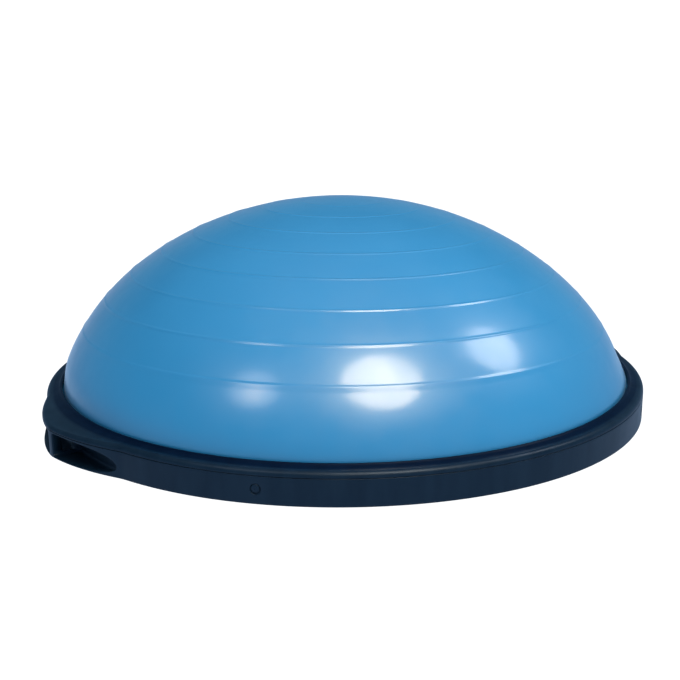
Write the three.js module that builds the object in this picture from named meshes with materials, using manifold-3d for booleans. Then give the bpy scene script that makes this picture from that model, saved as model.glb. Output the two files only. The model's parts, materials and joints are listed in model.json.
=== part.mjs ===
// Balance dome trainer: an inflated dome clamped to a round platform by a screwed ring.
// Units are millimetres, +Z is up, and the origin is the centre of the footprint.
// The two grip ears point along +X and -X, and the air valve faces +Y.
import * as THREE from 'three';
import { mergeVertices } from 'three/addons/utils/BufferGeometryUtils.js';
import Module from 'manifold-3d';

const wasm = await Module();
wasm.setup();

// ---------------------------------------------------------------- driving dimensions
const RIM_RADIUS = 325;
const TOTAL_HEIGHT = 230;
const RIM_TOP = 41;
const SEAM_Z = 29.8;
const GAP = 0.3;

// grip ears
const EAR_REACH = 19;
const EAR_HALF_ANGLE = 18;
const EAR_POWER = 1.3;
const EAR_ROOT_ANGLE = 21;
const SCOOP_HALF_ANGLE = 17;
const SCOOP_BACK_RADIUS = 314;
const SCOOP_RISE = 9;
const SCOOP_FLOOR = 3.2;
const SCOOP_CEILING = 28;
const SCOOP_DROOP = 2.6;
const GRIP_POST_WIDTH = 9;
const GRIP_POST_DEPTH = 10;

// foot pads
const PAD_RADIUS = 16;
const PAD_STAND = 1.5;
const PAD_SEAT_DEPTH = 1.4;
const PAD_COUNT = 8;
const PAD_CIRCLE_RADIUS = 280;

// platform base, a ribbed tray
const BASE_BOTTOM = PAD_STAND;
const FLOOR_TOP = 5;
const WALL = 4;
const INNER_WALL_INSIDE = 304.5;
const INNER_WALL_OUTSIDE = 308;
const INNER_WALL_TOP = 28;
const RIB_TOP = 24.6;
const RIB_THICKNESS = 3;
const RIB_RINGS = [100, 200];
const RIB_SPOKES = 12;
const SPOKE_INNER_RADIUS = 24;

// deck, the plate that the bladder lies on
const DECK_RADIUS = 304;
const DECK_BOTTOM = RIB_TOP + GAP;
const DECK_TOP = INNER_WALL_TOP;
const DECK_SCREW_COUNT = 6;
const DECK_SCREW_CIRCLE = 150;
const DECK_BOSS_RADIUS = 6;

// bladder
const BLADDER_WALL = 3.2;
const BLADDER_BOTTOM = DECK_TOP + GAP;
const FLANGE_RADIUS = 313.2;
const FLANGE_TOP = 33;
const NECK_RADIUS = 306.5;
const NECK_Z = 39;
const CROWN_HANDLE = 165.6;
const SHOULDER_HANDLE = [288.1, 129.3];

// ring
const RING_INNER_RADIUS = 308.4;
const RING_RIDGE_RADIUS = 311;
const RING_SHOULDER_WIDTH = 5;
const RING_SHOULDER_Z = 36.5;
const EAR_SHOULDER_Z = 34;
const RING_LIP_Z = 39.6;
const RING_FOOT_INNER = FLANGE_RADIUS + 0.5;

// ring screws, driven from below
const RING_SCREW_FIRST_ANGLE = 27;
const RING_SCREW_STEP = 21;
const RING_SCREWS_PER_SIDE = 7;
const RING_SCREW_CIRCLE = 317;
const RING_BOSS_RADIUS = 5.2;
const RING_SCREW_TIP = 34.8;

// rim rivets
const RIVET_Z = 17.5;
const RIVET_HEAD_RADIUS = 4;
const RIVET_STEM_RADIUS = 2.2;

// air valve
const VALVE_Z = 78;
const VALVE_BOSS_RADIUS = 14;
const VALVE_BOSS_DEPTH = 9;
const VALVE_BODY_RADIUS = 6.6;
const VALVE_FLANGE_RADIUS = 9.5;
const VALVE_FLANGE_THICKNESS = 1.4;
const VALVE_BORE_RADIUS = 4;
const PLUG_STEM_RADIUS = 3.6;
const PLUG_HEAD_RADIUS = 8;
const PLUG_HEAD_THICKNESS = 2.2;
const PLUG_STEM_LENGTH = 11;

const COARSE_STEP = 6;
const EAR_STEP = 3;
const SCOOP_SPANS = 14;
const DOME_SEGMENTS = 72;
const TRAY_SEGMENTS = 60;
const radians = THREE.MathUtils.degToRad;

// ---------------------------------------------------------------- materials
const materials = {
  pvc: new THREE.MeshStandardMaterial({ color: 0x3f90c6, roughness: 0.28, metalness: 0 }),
  plastic: new THREE.MeshStandardMaterial({ color: 0x14222f, roughness: 0.5, metalness: 0 }),
  deck: new THREE.MeshStandardMaterial({ color: 0x2a2d31, roughness: 0.6, metalness: 0 }),
  rubber: new THREE.MeshStandardMaterial({ color: 0x17191b, roughness: 0.85, metalness: 0 }),
  valve: new THREE.MeshStandardMaterial({ color: 0x2f6f9e, roughness: 0.4, metalness: 0 }),
  plug: new THREE.MeshStandardMaterial({ color: 0xe9ecee, roughness: 0.4, metalness: 0 }),
  steel: new THREE.MeshStandardMaterial({ color: 0xb9bdc2, roughness: 0.35, metalness: 0.9 }),
};

// ---------------------------------------------------------------- solid helpers
function toSolid(geometry) {
  const bare = geometry.index ? geometry.toNonIndexed() : geometry.clone();
  bare.deleteAttribute('normal');
  bare.deleteAttribute('uv');
  const merged = mergeVertices(bare, 1e-4);
  const mesh = new wasm.Mesh({
    numProp: 3,
    vertProperties: new Float32Array(merged.attributes.position.array),
    triVerts: new Uint32Array(merged.index.array),
  });
  mesh.merge();
  return new wasm.Manifold(mesh);
}

function toGeometry(solid) {
  const mesh = solid.getMesh();
  const geometry = new THREE.BufferGeometry();
  geometry.setAttribute('position', new THREE.BufferAttribute(mesh.vertProperties, 3));
  geometry.setIndex(new THREE.BufferAttribute(mesh.triVerts, 1));
  geometry.computeVertexNormals();
  return geometry;
}

// A solid of revolution about Z from [radius, z] points that run upwards along its outside.
function revolve(points, segments) {
  const profile = points.map(([radius, z]) => new THREE.Vector2(Math.max(radius, 0), z));
  const geometry = new THREE.LatheGeometry(profile, segments);
  geometry.rotateX(Math.PI / 2);
  return toSolid(geometry);
}

function disc(radius, bottom, top, segments = 16) {
  return revolve([[0, bottom], [radius, bottom], [radius, top], [0, top]], segments);
}

function box(low, high) {
  const size = high.map((value, axis) => value - low[axis]);
  const geometry = new THREE.BoxGeometry(...size);
  geometry.translate(...low.map((value, axis) => value + size[axis] / 2));
  return toSolid(geometry);
}

function turned(solid, degrees) {
  return solid.rotate([0, 0, degrees]);
}

// Solid through sections that each hold the same number of 3-D points, in order.
function loft(sections, closed) {
  const count = sections[0].length;
  const positions = sections.flat(2);
  const indices = [];
  const spans = closed ? sections.length : sections.length - 1;
  for (let s = 0; s < spans; s += 1) {
    const near = s * count;
    const far = ((s + 1) % sections.length) * count;
    for (let p = 0; p < count; p += 1) {
      const next = (p + 1) % count;
      indices.push(near + p, far + p, far + next);
      indices.push(near + p, far + next, near + next);
    }
  }
  if (!closed) {
    const last = (sections.length - 1) * count;
    for (let p = 1; p < count - 1; p += 1) {
      indices.push(0, p, p + 1);
      indices.push(last, last + p + 1, last + p);
    }
  }
  const geometry = new THREE.BufferGeometry();
  geometry.setAttribute('position', new THREE.Float32BufferAttribute(positions, 3));
  geometry.setIndex(indices);
  return toSolid(geometry);
}

// ---------------------------------------------------------------- outline with two grip ears
function earBump(degrees) {
  const fromEar = Math.abs(((degrees + 90) % 180 + 180) % 180 - 90);
  if (fromEar >= EAR_HALF_ANGLE) return 0;
  return 1 - (fromEar / EAR_HALF_ANGLE) ** EAR_POWER;
}

function outlineRadius(degrees) {
  return RIM_RADIUS + EAR_REACH * earBump(degrees);
}

function outlineAngles() {
  const angles = [];
  for (const side of [0, 180]) {
    for (let a = -EAR_HALF_ANGLE; a < EAR_HALF_ANGLE; a += EAR_STEP) angles.push(side + a);
    const open = 180 - 2 * EAR_HALF_ANGLE;
    const steps = 2 * Math.round(open / COARSE_STEP / 2);
    for (let i = 0; i < steps; i += 1) angles.push(side + EAR_HALF_ANGLE + open * i / steps);
  }
  return angles;
}

function polar(radius, degrees, z) {
  return [radius * Math.cos(radians(degrees)), radius * Math.sin(radians(degrees)), z];
}

// ---------------------------------------------------------------- platform base
function baseBlank() {
  const levels = [
    [3, BASE_BOTTOM], [1.2, BASE_BOTTOM + 0.7], [0.5, BASE_BOTTOM + 2.3], [0, BASE_BOTTOM + 6.5],
    [0, SEAM_Z - GAP / 2],
  ];
  const sections = outlineAngles().map((angle) => [
    [0, 0, SEAM_Z - GAP / 2],
    [0, 0, BASE_BOTTOM],
    ...levels.map(([step, z]) => polar(outlineRadius(angle) - step, angle, z)),
  ]);
  return loft(sections, true);
}

function scoopHalfHeight(degrees) {
  const share = Math.abs(degrees) / SCOOP_HALF_ANGLE;
  const full = (SCOOP_CEILING - SCOOP_FLOOR) / 2;
  return full * Math.sqrt(Math.max(1 - share ** 4, 0.004));
}

function scoopVoid() {
  const corner = 0.6;
  const sections = [];
  for (let i = 0; i <= SCOOP_SPANS; i += 1) {
    const angle = SCOOP_HALF_ANGLE * (2 * i / SCOOP_SPANS - 1);
    const half = scoopHalfHeight(angle);
    const share = Math.abs(angle) / SCOOP_HALF_ANGLE;
    const middle = (SCOOP_CEILING + SCOOP_FLOOR) / 2 - SCOOP_DROOP * share ** 3;
    const back = SCOOP_BACK_RADIUS + SCOOP_RISE * share ** 3;
    const mouth = outlineRadius(angle) + 6;
    sections.push([
      polar(mouth, angle, middle - half),
      polar(mouth, angle, middle + half),
      polar(back + 3, angle, middle + half),
      polar(back, angle, middle + half * corner),
      polar(back, angle, middle - half * corner),
      polar(back + 3, angle, middle - half),
    ]);
  }
  const post = box(
    [RIM_RADIUS + EAR_REACH - GRIP_POST_DEPTH, -GRIP_POST_WIDTH / 2, 0],
    [RIM_RADIUS + EAR_REACH + 20, GRIP_POST_WIDTH / 2, RIM_TOP],
  );
  return loft(sections, false).subtract(post);
}

// Part of a ring between two radii and two angles.
function ringSector(inner, outer, from, to, bottom, top) {
  const shape = new THREE.Shape();
  shape.absarc(0, 0, outer, radians(from), radians(to), false);
  shape.absarc(0, 0, inner, radians(to), radians(from), true);
  const geometry = new THREE.ExtrudeGeometry(shape, {
    depth: top - bottom, bevelEnabled: false, curveSegments: 22,
  });
  geometry.translate(0, 0, bottom);
  return toSolid(geometry);
}

function trayVoid() {
  const above = RIM_TOP;
  const middle = RIB_THICKNESS / 2;
  let room = disc(INNER_WALL_INSIDE, FLOOR_TOP, above, TRAY_SEGMENTS);
  for (const radius of RIB_RINGS) {
    const rib = disc(radius + middle, 0, RIB_TOP, 36).subtract(disc(radius - middle, 0, above, 36));
    room = room.subtract(rib);
  }
  for (let i = 0; i < RIB_SPOKES; i += 1) {
    const spoke = box([SPOKE_INNER_RADIUS, -middle, 0], [INNER_WALL_OUTSIDE - 1, middle, RIB_TOP]);
    room = room.subtract(turned(spoke, (i + 0.5) * 360 / RIB_SPOKES));
  }
  for (const angle of deckScrewAngles()) {
    const boss = disc(DECK_BOSS_RADIUS, 0, RIB_TOP, 8).translate([DECK_SCREW_CIRCLE, 0, 0]);
    room = room.subtract(turned(boss, angle));
  }
  return room;
}

function ringScrewAngles() {
  const angles = [];
  for (const side of [0, 180]) {
    for (let i = 0; i < RING_SCREWS_PER_SIDE; i += 1) {
      angles.push(side + RING_SCREW_FIRST_ANGLE + i * RING_SCREW_STEP);
    }
  }
  return angles;
}

function deckScrewAngles() {
  return Array.from({ length: DECK_SCREW_COUNT }, (_, i) => i * 360 / DECK_SCREW_COUNT);
}

function channelVoid() {
  const outer = RIM_RADIUS - WALL;
  let room = null;
  for (const side of [0, 180]) {
    const from = side + EAR_ROOT_ANGLE;
    const to = side + 180 - EAR_ROOT_ANGLE;
    const sector = ringSector(INNER_WALL_OUTSIDE, outer, from, to, FLOOR_TOP, RIM_TOP);
    room = room ? room.add(sector) : sector;
  }
  for (const angle of ringScrewAngles()) {
    const boss = disc(RING_BOSS_RADIUS, 0, SEAM_Z - GAP / 2, 8).translate([RING_SCREW_CIRCLE, 0, 0]);
    room = room.subtract(turned(boss, angle));
  }
  return room.add(disc(RING_FOOT_INNER, INNER_WALL_TOP, RIM_TOP, TRAY_SEGMENTS));
}

function ringScrewHole() {
  return revolve([
    [0, 0], [4.4, 0], [4.4, 4.2], [1.9, 4.2], [1.9, RIM_TOP], [0, RIM_TOP],
  ], 8).translate([RING_SCREW_CIRCLE, 0, 0]);
}

function platformBase() {
  let base = baseBlank().subtract(trayVoid()).subtract(channelVoid());
  for (const side of [0, 180]) base = base.subtract(turned(scoopVoid(), side));
  for (const angle of ringScrewAngles()) base = base.subtract(turned(ringScrewHole(), angle));
  const deckHole = disc(1.5, 12, RIM_TOP, 8).translate([DECK_SCREW_CIRCLE, 0, 0]);
  for (const angle of deckScrewAngles()) base = base.subtract(turned(deckHole, angle));
  const padSeat = disc(PAD_RADIUS + GAP, 0, BASE_BOTTOM + PAD_SEAT_DEPTH, 16);
  for (const angle of padAngles()) {
    base = base.subtract(turned(padSeat.translate([PAD_CIRCLE_RADIUS, 0, 0]), angle));
  }
  const rivetHole = disc(RIVET_STEM_RADIUS + GAP, RIM_RADIUS - 12, RIM_RADIUS + 9, 8);
  const headSeat = disc(RIVET_HEAD_RADIUS + GAP, RIM_RADIUS - 1.6, RIM_RADIUS + 9, 10);
  for (const angle of rivetAngles()) {
    base = base.subtract(radialAt(rivetHole.add(headSeat), angle, RIVET_Z));
  }
  return base;
}

// ---------------------------------------------------------------- deck
function platformDeck() {
  let deck = disc(DECK_RADIUS, DECK_BOTTOM, DECK_TOP, TRAY_SEGMENTS);
  const hole = revolve([
    [0, 0], [2.3, 0], [2.3, DECK_TOP - 1.9], [5, DECK_TOP - 1.9], [5, RIM_TOP], [0, RIM_TOP],
  ], 8).translate([DECK_SCREW_CIRCLE, 0, 0]);
  for (const angle of deckScrewAngles()) deck = deck.subtract(turned(hole, angle));
  return deck;
}

// ---------------------------------------------------------------- retaining ring
function ringTop(angle) {
  const foot = SEAM_Z + GAP / 2;
  const shoulder = THREE.MathUtils.lerp(RING_SHOULDER_Z, EAR_SHOULDER_Z, earBump(angle));
  const points = [];
  const steps = 4;
  for (let i = 0; i <= steps; i += 1) {
    const turn = i / steps * Math.PI / 2;
    const inset = RING_SHOULDER_WIDTH * (1 - Math.cos(turn));
    points.push(polar(outlineRadius(angle) - inset, angle, foot + (shoulder - foot) * Math.sin(turn)));
  }
  points.push(polar(RING_RIDGE_RADIUS, angle, RIM_TOP));
  return points;
}

function retainingRing() {
  const foot = SEAM_Z + GAP / 2;
  const clamp = FLANGE_TOP + GAP;
  const sections = outlineAngles().map((angle) => [
    polar(RING_INNER_RADIUS, angle, RING_LIP_Z),
    polar(RING_INNER_RADIUS, angle, clamp),
    polar(RING_FOOT_INNER, angle, clamp),
    polar(RING_FOOT_INNER, angle, foot),
    ...ringTop(angle),
  ]);
  let ring = loft(sections, true);
  const pilot = disc(1.9, 0, RING_SCREW_TIP + 0.6, 8).translate([RING_SCREW_CIRCLE, 0, 0]);
  for (const angle of ringScrewAngles()) ring = ring.subtract(turned(pilot, angle));
  return ring;
}

// ---------------------------------------------------------------- inflated dome
function domeCurve() {
  return new THREE.CubicBezierCurve(
    new THREE.Vector2(NECK_RADIUS, NECK_Z),
    new THREE.Vector2(...SHOULDER_HANDLE),
    new THREE.Vector2(CROWN_HANDLE, TOTAL_HEIGHT),
    new THREE.Vector2(0, TOTAL_HEIGHT),
  );
}

// Distance t along the curve at which the dome has the height z.
function curveAtHeight(z) {
  const curve = domeCurve();
  let low = 0;
  let high = 1;
  for (let i = 0; i < 40; i += 1) {
    const middle = (low + high) / 2;
    if (curve.getPoint(middle).y < z) low = middle;
    else high = middle;
  }
  return low;
}

function domeLine(inset, samples) {
  const curve = domeCurve();
  const points = [];
  for (let i = 0; i <= samples; i += 1) {
    const point = curve.getPoint(i / samples);
    const tangent = curve.getTangent(i / samples);
    const radius = i === samples ? 0 : point.x - tangent.y * inset;
    points.push([radius, point.y + tangent.x * inset]);
  }
  return points;
}

function domeBladder() {
  const floorTop = BLADDER_BOTTOM + BLADDER_WALL;
  const outside = revolve([
    [0, BLADDER_BOTTOM], [FLANGE_RADIUS, BLADDER_BOTTOM], [FLANGE_RADIUS, FLANGE_TOP],
    [NECK_RADIUS, FLANGE_TOP], ...domeLine(0, 13),
  ], DOME_SEGMENTS);
  const inside = revolve([
    [0, floorTop], [NECK_RADIUS - BLADDER_WALL - 1, floorTop], ...domeLine(BLADDER_WALL, 7),
  ], DOME_SEGMENTS);
  const boss = atValve(disc(VALVE_BOSS_RADIUS, -VALVE_BOSS_DEPTH, -1, 20)).intersect(outside);
  const cut = disc(VALVE_BODY_RADIUS + GAP, -30, 20, 16)
    .add(disc(VALVE_FLANGE_RADIUS + GAP, -VALVE_FLANGE_THICKNESS - GAP, 20, 20));
  return outside.subtract(inside).add(boss).subtract(atValve(cut));
}

// ---------------------------------------------------------------- air valve
function valveFrame() {
  const t = curveAtHeight(VALVE_Z);
  const point = domeCurve().getPoint(t);
  const tangent = domeCurve().getTangent(t);
  return { radius: point.x, z: point.y, tilt: Math.atan2(-tangent.x, tangent.y) };
}

// Moves a solid made about Z so that its +Z points out of the dome at the valve.
function atValve(solid) {
  const frame = valveFrame();
  const tiltDegrees = THREE.MathUtils.radToDeg(frame.tilt);
  return solid.rotate([-(90 - tiltDegrees), 0, 0]).translate([0, frame.radius, frame.z]);
}

function valveSocket() {
  const body = disc(VALVE_BODY_RADIUS, -VALVE_BOSS_DEPTH, -VALVE_FLANGE_THICKNESS, 16);
  const flange = disc(VALVE_FLANGE_RADIUS, -VALVE_FLANGE_THICKNESS, 0.5, 20);
  const bore = disc(VALVE_BORE_RADIUS, -30, 20, 14);
  return atValve(body.add(flange).subtract(bore));
}

function valvePlug() {
  const seat = 0.5 + GAP;
  const profile = [
    [0, seat - PLUG_STEM_LENGTH], [PLUG_STEM_RADIUS - 1, seat - PLUG_STEM_LENGTH],
    [PLUG_STEM_RADIUS, seat - PLUG_STEM_LENGTH + 2], [PLUG_STEM_RADIUS, seat],
    [PLUG_HEAD_RADIUS, seat], [PLUG_HEAD_RADIUS - 0.6, seat + PLUG_HEAD_THICKNESS],
    [0, seat + PLUG_HEAD_THICKNESS],
  ];
  return atValve(revolve(profile, 14));
}

// ---------------------------------------------------------------- fasteners, rivets and pads
function padAngles() {
  return Array.from({ length: PAD_COUNT }, (_, i) => (i + 0.5) * 360 / PAD_COUNT);
}

function rivetAngles() {
  return [45, 135, 225, 315];
}

// Turns a solid made about Z so that +Z points outwards at the given angle and height.
function radialAt(solid, angle, z) {
  return turned(solid.rotate([0, 90, 0]).translate([0, 0, z]), angle);
}

function footPad() {
  const top = BASE_BOTTOM + PAD_SEAT_DEPTH - GAP;
  return revolve([
    [0, 0], [PAD_RADIUS - 1, 0], [PAD_RADIUS, 0.8], [PAD_RADIUS, top], [0, top],
  ], 16);
}

function ringScrew() {
  return revolve([
    [0, 1.9], [3.2, 1.9], [3.8, 2.6], [3.8, 3.9], [1.6, 3.9], [1.6, RING_SCREW_TIP - 1.4], [0, RING_SCREW_TIP],
  ], 8);
}

function deckScrew() {
  return revolve([
    [0, 14], [1.2, 15], [1.2, DECK_TOP - 1.6], [4.4, DECK_TOP - 1.6],
    [4.4, DECK_TOP - 0.6], [3.4, DECK_TOP - 0.1], [0, DECK_TOP - 0.1],
  ], 8);
}

function rimRivet() {
  return revolve([
    [0, RIM_RADIUS - 8], [RIVET_STEM_RADIUS - 0.8, RIM_RADIUS - 8],
    [RIVET_STEM_RADIUS, RIM_RADIUS - 6], [RIVET_STEM_RADIUS, RIM_RADIUS - 1.3],
    [RIVET_HEAD_RADIUS, RIM_RADIUS - 1.3], [RIVET_HEAD_RADIUS, RIM_RADIUS - 0.6],
    [RIVET_HEAD_RADIUS - 1.4, RIM_RADIUS + 0.5], [0, RIM_RADIUS + 0.5],
  ], 12);
}

// ---------------------------------------------------------------- assembly
const group = new THREE.Group();

function place(name, solid, material) {
  const mesh = new THREE.Mesh(toGeometry(solid), material);
  mesh.name = name;
  group.add(mesh);
}

place('platform_base', platformBase(), materials.plastic);
place('platform_deck', platformDeck(), materials.deck);
place('retaining_ring', retainingRing(), materials.plastic);
place('dome_bladder', domeBladder(), materials.pvc);
place('valve_socket', valveSocket(), materials.valve);
place('valve_plug', valvePlug(), materials.plug);

padAngles().forEach((angle, i) => {
  const pad = turned(footPad().translate([PAD_CIRCLE_RADIUS, 0, 0]), angle);
  place(`foot_pad_${i + 1}`, pad, materials.rubber);
});
ringScrewAngles().forEach((angle, i) => {
  const screw = turned(ringScrew().translate([RING_SCREW_CIRCLE, 0, 0]), angle);
  place(`ring_screw_${i + 1}`, screw, materials.steel);
});
deckScrewAngles().forEach((angle, i) => {
  const screw = turned(deckScrew().translate([DECK_SCREW_CIRCLE, 0, 0]), angle);
  place(`deck_screw_${i + 1}`, screw, materials.steel);
});
rivetAngles().forEach((angle, i) => {
  place(`rim_rivet_${i + 1}`, radialAt(rimRivet(), angle, RIVET_Z), materials.plastic);
});

export default group;
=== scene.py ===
import json
import math

import bmesh
import bpy
from mathutils import Matrix, Vector, noise


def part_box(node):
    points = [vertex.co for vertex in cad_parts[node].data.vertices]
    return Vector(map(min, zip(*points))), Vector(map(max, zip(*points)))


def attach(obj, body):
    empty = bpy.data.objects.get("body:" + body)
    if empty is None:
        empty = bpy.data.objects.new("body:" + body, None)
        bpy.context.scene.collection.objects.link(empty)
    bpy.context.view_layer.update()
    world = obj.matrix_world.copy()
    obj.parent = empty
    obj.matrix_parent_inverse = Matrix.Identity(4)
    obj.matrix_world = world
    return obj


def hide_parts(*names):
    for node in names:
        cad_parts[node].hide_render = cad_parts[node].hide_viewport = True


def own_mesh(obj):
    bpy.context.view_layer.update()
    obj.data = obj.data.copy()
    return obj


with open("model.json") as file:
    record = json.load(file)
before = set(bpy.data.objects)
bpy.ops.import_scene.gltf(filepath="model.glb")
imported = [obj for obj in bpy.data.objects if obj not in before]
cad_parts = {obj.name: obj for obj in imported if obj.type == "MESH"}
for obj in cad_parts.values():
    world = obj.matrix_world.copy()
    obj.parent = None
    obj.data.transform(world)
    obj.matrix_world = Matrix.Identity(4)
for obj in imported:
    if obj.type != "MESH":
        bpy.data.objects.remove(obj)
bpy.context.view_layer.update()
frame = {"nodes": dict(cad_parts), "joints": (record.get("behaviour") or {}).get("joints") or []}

MM = 0.001

# ------------------------------------------------------------------ sizes read from the frame
BASE_LOW, BASE_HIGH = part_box("platform_base")
RING_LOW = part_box("retaining_ring")[0]
DOME_LOW, DOME_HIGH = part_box("dome_bladder")
RIM_RADIUS = BASE_HIGH.y
EAR_REACH = BASE_HIGH.x - RIM_RADIUS
UNDERSIDE_Z = BASE_LOW.z
CROWN_Z = DOME_HIGH.z

# ------------------------------------------------------------------ sizes that follow the CAD model's
EAR_HALF_ANGLE = 18.0
EAR_POWER = 1.3
EAR_EDGE_SOFTNESS = 0.05

SCOOP_START = 0.78
SCOOP_END = 17.0
SCOOP_FLOOR = 3.2 * MM
SCOOP_CEILING = 28 * MM
SCOOP_DROOP = 2.6 * MM
SCOOP_BACK_RADIUS = 314 * MM
SCOOP_RISE = 9 * MM
SCOOP_EDGE_RADIUS = 0.8 * MM
SCOOP_BACK_FILLET = 3 * MM
SCOOP_SIDE_DRAFT = 0.25 * MM

NECK = (306.5 * MM, 39 * MM)
SHOULDER_HANDLE = (288.1 * MM, 129.3 * MM)
CROWN_HANDLE = (165.6 * MM, CROWN_Z)
FLANGE_RADIUS = 312.8 * MM
RING_SHOULDER_WIDTH = 5 * MM
RING_SHOULDER_Z = 36.3 * MM
EAR_SHOULDER_Z = 33.8 * MM
RING_TOP_SAG = 0.4 * MM

VALVE_Z = 78 * MM
RIVET_Z = 17.5 * MM
RIVET_ANGLES = (45, 135, 225, 315)
SCREW_CIRCLE = 317 * MM
SCREW_SEAT_RADIUS = 4.1 * MM
SCREW_SEAT_DEPTH = 2.7 * MM
SCREW_HOLE_RADIUS = 1.9 * MM
SCREW_HOLE_DEPTH = 12 * MM
PAD_CIRCLE = 280 * MM
PAD_SEAT_RADIUS = 16.3 * MM
PAD_SEAT_DEPTH = 1.4 * MM

# ------------------------------------------------------------------ sizes of the fine detail
# distances of the moulded rings from the crown, along the dome, in millimetres
RIB_ARCS = (45, 85, 125.8, 167.1, 207, 248.1, 287.5, 327)
RIB_HEIGHT = 0.6 * MM
RIB_WIDTH = 1.25 * MM
RIB_SHARES = (0.5, 0.8, 1.05, 1.05, 1.0, 1.0, 1.0, 1.0)
RIB_FULL_AT = 215.0
RIB_POLE = Vector((12.3, 13.5)) * MM
# (height, sideways shift) pairs in millimetres
LEAN_BY_HEIGHT = ((39, 0.0), (60, 2.9), (100, 2.95), (160, 4.85), (230, 5.4))
LEAN_DIRECTION = Vector((-0.866, 0.5, 0.0))
EAR_ZONE = 19.5


# ------------------------------------------------------------------ mesh helpers
class Skin:
    """Collects rows of points as quads, then makes one closed mesh of them."""

    def __init__(self):
        self.points = []
        self.faces = []

    def strip(self, rows, closed_rows=False, closed_columns=False, skip=lambda row, column: False):
        """Quads between neighbouring rows, which all have the same number of points."""
        first = len(self.points)
        width = len(rows[0])
        for row in rows:
            self.points.extend(row)
        for r in range(len(rows) if closed_rows else len(rows) - 1):
            for c in range(width if closed_columns else width - 1):
                if skip(r, c):
                    continue
                near = first + r * width
                far = first + (r + 1) % len(rows) * width
                after = (c + 1) % width
                self.faces.append((near + c, far + c, far + after, near + after))

    def fan(self, centre, ring):
        """Triangles from a centre point to a closed ring of points."""
        first = len(self.points)
        self.points.append(centre)
        self.points.extend(ring)
        for c in range(len(ring)):
            self.faces.append((first, first + 1 + c, first + 1 + (c + 1) % len(ring)))

    def flat_fill(self, loops):
        """Triangles over a flat area between closed loops."""
        sheet = bmesh.new()
        for loop in loops:
            verts = [sheet.verts.new(p) for p in loop]
            for a, b in zip(verts, verts[1:] + verts[:1]):
                sheet.edges.new((a, b))
        bmesh.ops.triangle_fill(sheet, use_beauty=True, use_dissolve=False, edges=sheet.edges[:])
        first = len(self.points)
        sheet.verts.index_update()
        self.points.extend(v.co[:] for v in sheet.verts)
        self.faces.extend(tuple(first + v.index for v in f.verts) for f in sheet.faces)
        sheet.free()

    def finish(self, name, material, merge=2e-6):
        mesh = bpy.data.meshes.new(name)
        mesh.from_pydata([tuple(p) for p in self.points], [], self.faces)
        work = bmesh.new()
        work.from_mesh(mesh)
        bmesh.ops.remove_doubles(work, verts=work.verts, dist=merge)
        bmesh.ops.dissolve_degenerate(work, dist=merge / 4, edges=work.edges)
        bmesh.ops.recalc_face_normals(work, faces=work.faces)
        work.to_mesh(mesh)
        work.free()
        mesh.shade_smooth()
        piece = bpy.data.objects.new(name, mesh)
        bpy.context.scene.collection.objects.link(piece)
        mesh.materials.append(material)
        return piece


def polar(radius, degrees, z):
    angle = math.radians(degrees)
    return (radius * math.cos(angle), radius * math.sin(angle), z)


def lerp(a, b, share):
    return a + (b - a) * share


def spread(start, end, count):
    """count + 1 even steps from start to end."""
    return [lerp(start, end, i / count) for i in range(count + 1)]


def arc(centre, radius, start, end, count):
    """Points of a circular arc in a section, with angles in degrees."""
    return [
        (centre[0] + radius * math.cos(math.radians(a)), centre[1] + radius * math.sin(math.radians(a)))
        for a in spread(start, end, count)
    ]


def revolve(skin, section, segments, place=lambda p: p):
    """A section of (radius, height) points turned about the local Z axis."""
    angles = [360 * i / segments for i in range(segments)]
    rows = [[place(polar(r, a, z)) for a in angles] for r, z in section]
    skin.strip(rows, closed_columns=True)


# ------------------------------------------------------------------ materials
def node_material(name):
    material = bpy.data.materials.new(name)
    material.use_nodes = True
    tree = material.node_tree
    shader = tree.nodes["Principled BSDF"]
    return material, tree, shader


def add_noise(tree, scale, detail=3.0, roughness=0.55, stretch=(1, 1, 1)):
    """A noise texture in object space, whose scale is in features per metre."""
    coordinates = tree.nodes.new("ShaderNodeTexCoord")
    mapping = tree.nodes.new("ShaderNodeMapping")
    mapping.inputs["Scale"].default_value = stretch
    texture = tree.nodes.new("ShaderNodeTexNoise")
    texture.inputs["Scale"].default_value = scale
    texture.inputs["Detail"].default_value = detail
    texture.inputs["Roughness"].default_value = roughness
    tree.links.new(coordinates.outputs["Object"], mapping.inputs["Vector"])
    tree.links.new(mapping.outputs["Vector"], texture.inputs["Vector"])
    return texture.outputs["Fac"]


def add_cells(tree, scale):
    """Distance to the edges of Voronoi cells in object space, for moulded grain."""
    coordinates = tree.nodes.new("ShaderNodeTexCoord")
    texture = tree.nodes.new("ShaderNodeTexVoronoi")
    texture.feature = "DISTANCE_TO_EDGE"
    texture.inputs["Scale"].default_value = scale
    tree.links.new(coordinates.outputs["Object"], texture.inputs["Vector"])
    return texture.outputs["Distance"]


def add_ramp(tree, source, low, high, low_at=0.35, high_at=0.65):
    """Maps a texture value to a range of colours, or of greys for two numbers."""
    ramp = tree.nodes.new("ShaderNodeValToRGB")
    for element, position, value in zip(ramp.color_ramp.elements, (low_at, high_at), (low, high)):
        element.position = position
        element.color = (value,) * 3 + (1,) if isinstance(value, float) else tuple(value) + (1,)
    tree.links.new(source, ramp.inputs["Fac"])
    return ramp.outputs["Color"]


def add_bump(tree, height, strength, distance, normal=None):
    bump = tree.nodes.new("ShaderNodeBump")
    bump.inputs["Strength"].default_value = strength
    bump.inputs["Distance"].default_value = distance
    tree.links.new(height, bump.inputs["Height"])
    if normal is not None:
        tree.links.new(normal, bump.inputs["Normal"])
    return bump.outputs["Normal"]


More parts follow.
